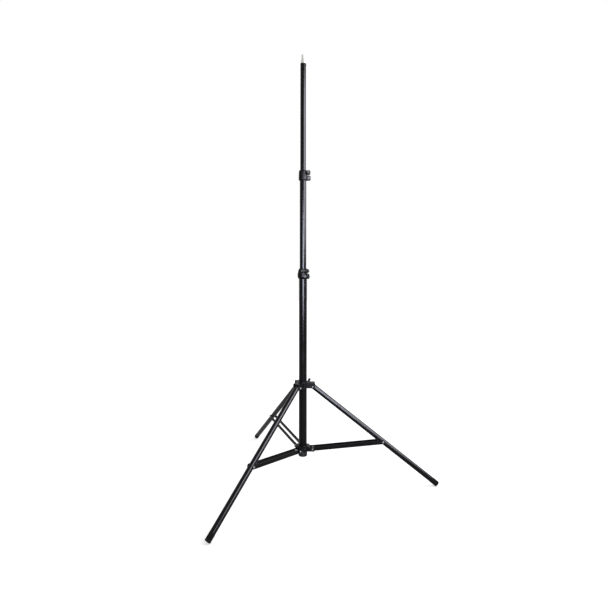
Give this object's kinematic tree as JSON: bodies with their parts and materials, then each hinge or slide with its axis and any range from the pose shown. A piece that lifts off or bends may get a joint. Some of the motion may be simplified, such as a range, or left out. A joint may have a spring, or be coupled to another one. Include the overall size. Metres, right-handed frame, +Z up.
{
  "type": "crank lighting stand",
  "caption": "Folding tripod lighting stand: a stepped telescopic column with clamp collars, hand knobs, braced tube legs, a sliding leg hub and a lamp spigot.",
  "frame": {"origin": "on the floor, under the middle of the column", "axes": "+Z up along the column, +X along one leg, the other two legs at +120 and -120 degrees"},
  "size_m": [0.8819, 1.0146, 1.8628],
  "materials": {
    "black_tube": "gloss black powder coat on steel tube",
    "black_strip": "satin black powder coat on the flat strips and the spigot's screw",
    "black_casting": "satin black paint on die-cast metal",
    "black_plastic": "moulded black nylon",
    "foot_rubber": "matt black rubber",
    "bright_steel": "bright zinc plated steel",
    "spigot_chrome": "polished chrome plate"
  },
  "bodies": {
    "column": {"lower_tube": "black_tube", "column_end_cap": "black_plastic", "brace_hub": "black_casting", "brace_hub_rivets": "black_casting", "brace_hub_pins": "bright_steel", "brace_spacers": "bright_steel", "lower_collar": "black_casting", "lower_collar_bush": "black_plastic", "lower_collar_bolt": "bright_steel", "lower_collar_washers": "bright_steel", "lower_collar_nuts": "bright_steel"},
    "leg_hub": {"leg_hub": "black_casting", "leg_hub_liner": "black_plastic", "leg_hub_pins": "bright_steel"},
    "hub_knob": {"leg_hub_knob": "black_plastic", "leg_hub_knob_stud": "bright_steel"},
    "lower_knob": {"lower_collar_knob": "black_plastic", "lower_collar_knob_stud": "bright_steel"},
    "middle_section": {"middle_tube": "black_tube", "middle_tube_guide": "black_plastic", "upper_collar": "black_casting", "upper_collar_bush": "black_plastic", "upper_collar_bolt": "bright_steel", "upper_collar_washers": "bright_steel", "upper_collar_nuts": "bright_steel"},
    "upper_knob": {"upper_collar_knob": "black_plastic", "upper_collar_knob_stud": "bright_steel"},
    "top_section": {"top_tube": "black_tube", "top_tube_guide": "black_plastic", "spigot": "spigot_chrome", "spigot_screw": "black_strip"},
    "right_leg": {"right_leg_tube": "black_tube", "right_leg_plug": "black_plastic", "right_leg_sleeve": "bright_steel", "right_leg_foot": "foot_rubber"},
    "right_brace": {"right_brace_strip_a": "black_strip", "right_brace_strip_b": "black_strip", "right_brace_rivets": "bright_steel"},
    "front_leg": {"front_leg_tube": "black_tube", "front_leg_plug": "black_plastic", "front_leg_sleeve": "bright_steel", "front_leg_foot": "foot_rubber"},
    "front_brace": {"front_brace_strip_a": "black_strip", "front_brace_strip_b": "black_strip", "front_brace_rivets": "bright_steel"},
    "back_leg": {"back_leg_tube": "black_tube", "back_leg_plug": "black_plastic", "back_leg_sleeve": "bright_steel", "back_leg_foot": "foot_rubber"},
    "back_brace": {"back_brace_strip_a": "black_strip", "back_brace_strip_b": "black_strip", "back_brace_rivets": "bright_steel"}
  },
  "joints": [
    {"name": "leg_hub_slide", "type": "slide", "parent": "column", "child": "leg_hub", "axis": [0, 0, 1], "range_m": [0, 0.41705]},
    {"name": "right_leg_fold", "type": "hinge", "parent": "leg_hub", "child": "right_leg", "pos_m": [0.0435, 0, 0.41785], "axis": [0, 1, 0], "range_deg": [0, 52.51]},
    {"name": "right_brace_fold", "type": "hinge", "parent": "column", "child": "right_brace", "pos_m": [0.0435, 0, 0.1475], "axis": [0, -1, 0], "range_deg": [0, 82.9]},
    {"name": "front_leg_fold", "type": "hinge", "parent": "leg_hub", "child": "front_leg", "pos_m": [-0.02175, -0.03767, 0.41785], "axis": [0.866, -0.5, 0], "range_deg": [0, 52.51]},
    {"name": "front_brace_fold", "type": "hinge", "parent": "column", "child": "front_brace", "pos_m": [-0.02175, -0.03767, 0.1475], "axis": [-0.866, 0.5, 0], "range_deg": [0, 82.9]},
    {"name": "back_leg_fold", "type": "hinge", "parent": "leg_hub", "child": "back_leg", "pos_m": [-0.02175, 0.03767, 0.41785], "axis": [-0.866, -0.5, 0], "range_deg": [0, 52.51]},
    {"name": "back_brace_fold", "type": "hinge", "parent": "column", "child": "back_brace", "pos_m": [-0.02175, 0.03767, 0.1475], "axis": [0.866, 0.5, 0], "range_deg": [0, 82.9]},
    {"name": "middle_slide", "type": "slide", "parent": "column", "child": "middle_section", "axis": [0, 0, 1], "range_m": [-0.3808, 0.2433]},
    {"name": "top_slide", "type": "slide", "parent": "middle_section", "child": "top_section", "axis": [0, 0, 1], "range_m": [-0.4365, 0.1903]},
    {"name": "hub_knob_turn", "type": "hinge", "parent": "leg_hub", "child": "hub_knob", "pos_m": [0.01549, 0.02683, 0.42485], "axis": [0.5, 0.866, 0], "range_deg": [0, 270]},
    {"name": "lower_knob_turn", "type": "hinge", "parent": "column", "child": "lower_knob", "pos_m": [0.01693, -0.0188, 0.91985], "axis": [-0.7431, -0.6691, 0], "range_deg": [0, 270]},
    {"name": "upper_knob_turn", "type": "hinge", "parent": "middle_section", "child": "upper_knob", "pos_m": [0.02344, 0.00164, 1.3478], "axis": [0.0698, -0.9976, 0], "range_deg": [0, 270]}
  ],
  "couplings": [
    {"joint": "right_leg_fold", "follows": "leg_hub_slide", "rad_per_m": 2.1971},
    {"joint": "right_brace_fold", "follows": "leg_hub_slide", "rad_per_m": 3.4689},
    {"joint": "front_leg_fold", "follows": "leg_hub_slide", "rad_per_m": 2.1971},
    {"joint": "front_brace_fold", "follows": "leg_hub_slide", "rad_per_m": 3.4689},
    {"joint": "back_leg_fold", "follows": "leg_hub_slide", "rad_per_m": 2.1971},
    {"joint": "back_brace_fold", "follows": "leg_hub_slide", "rad_per_m": 3.4689}
  ]
}
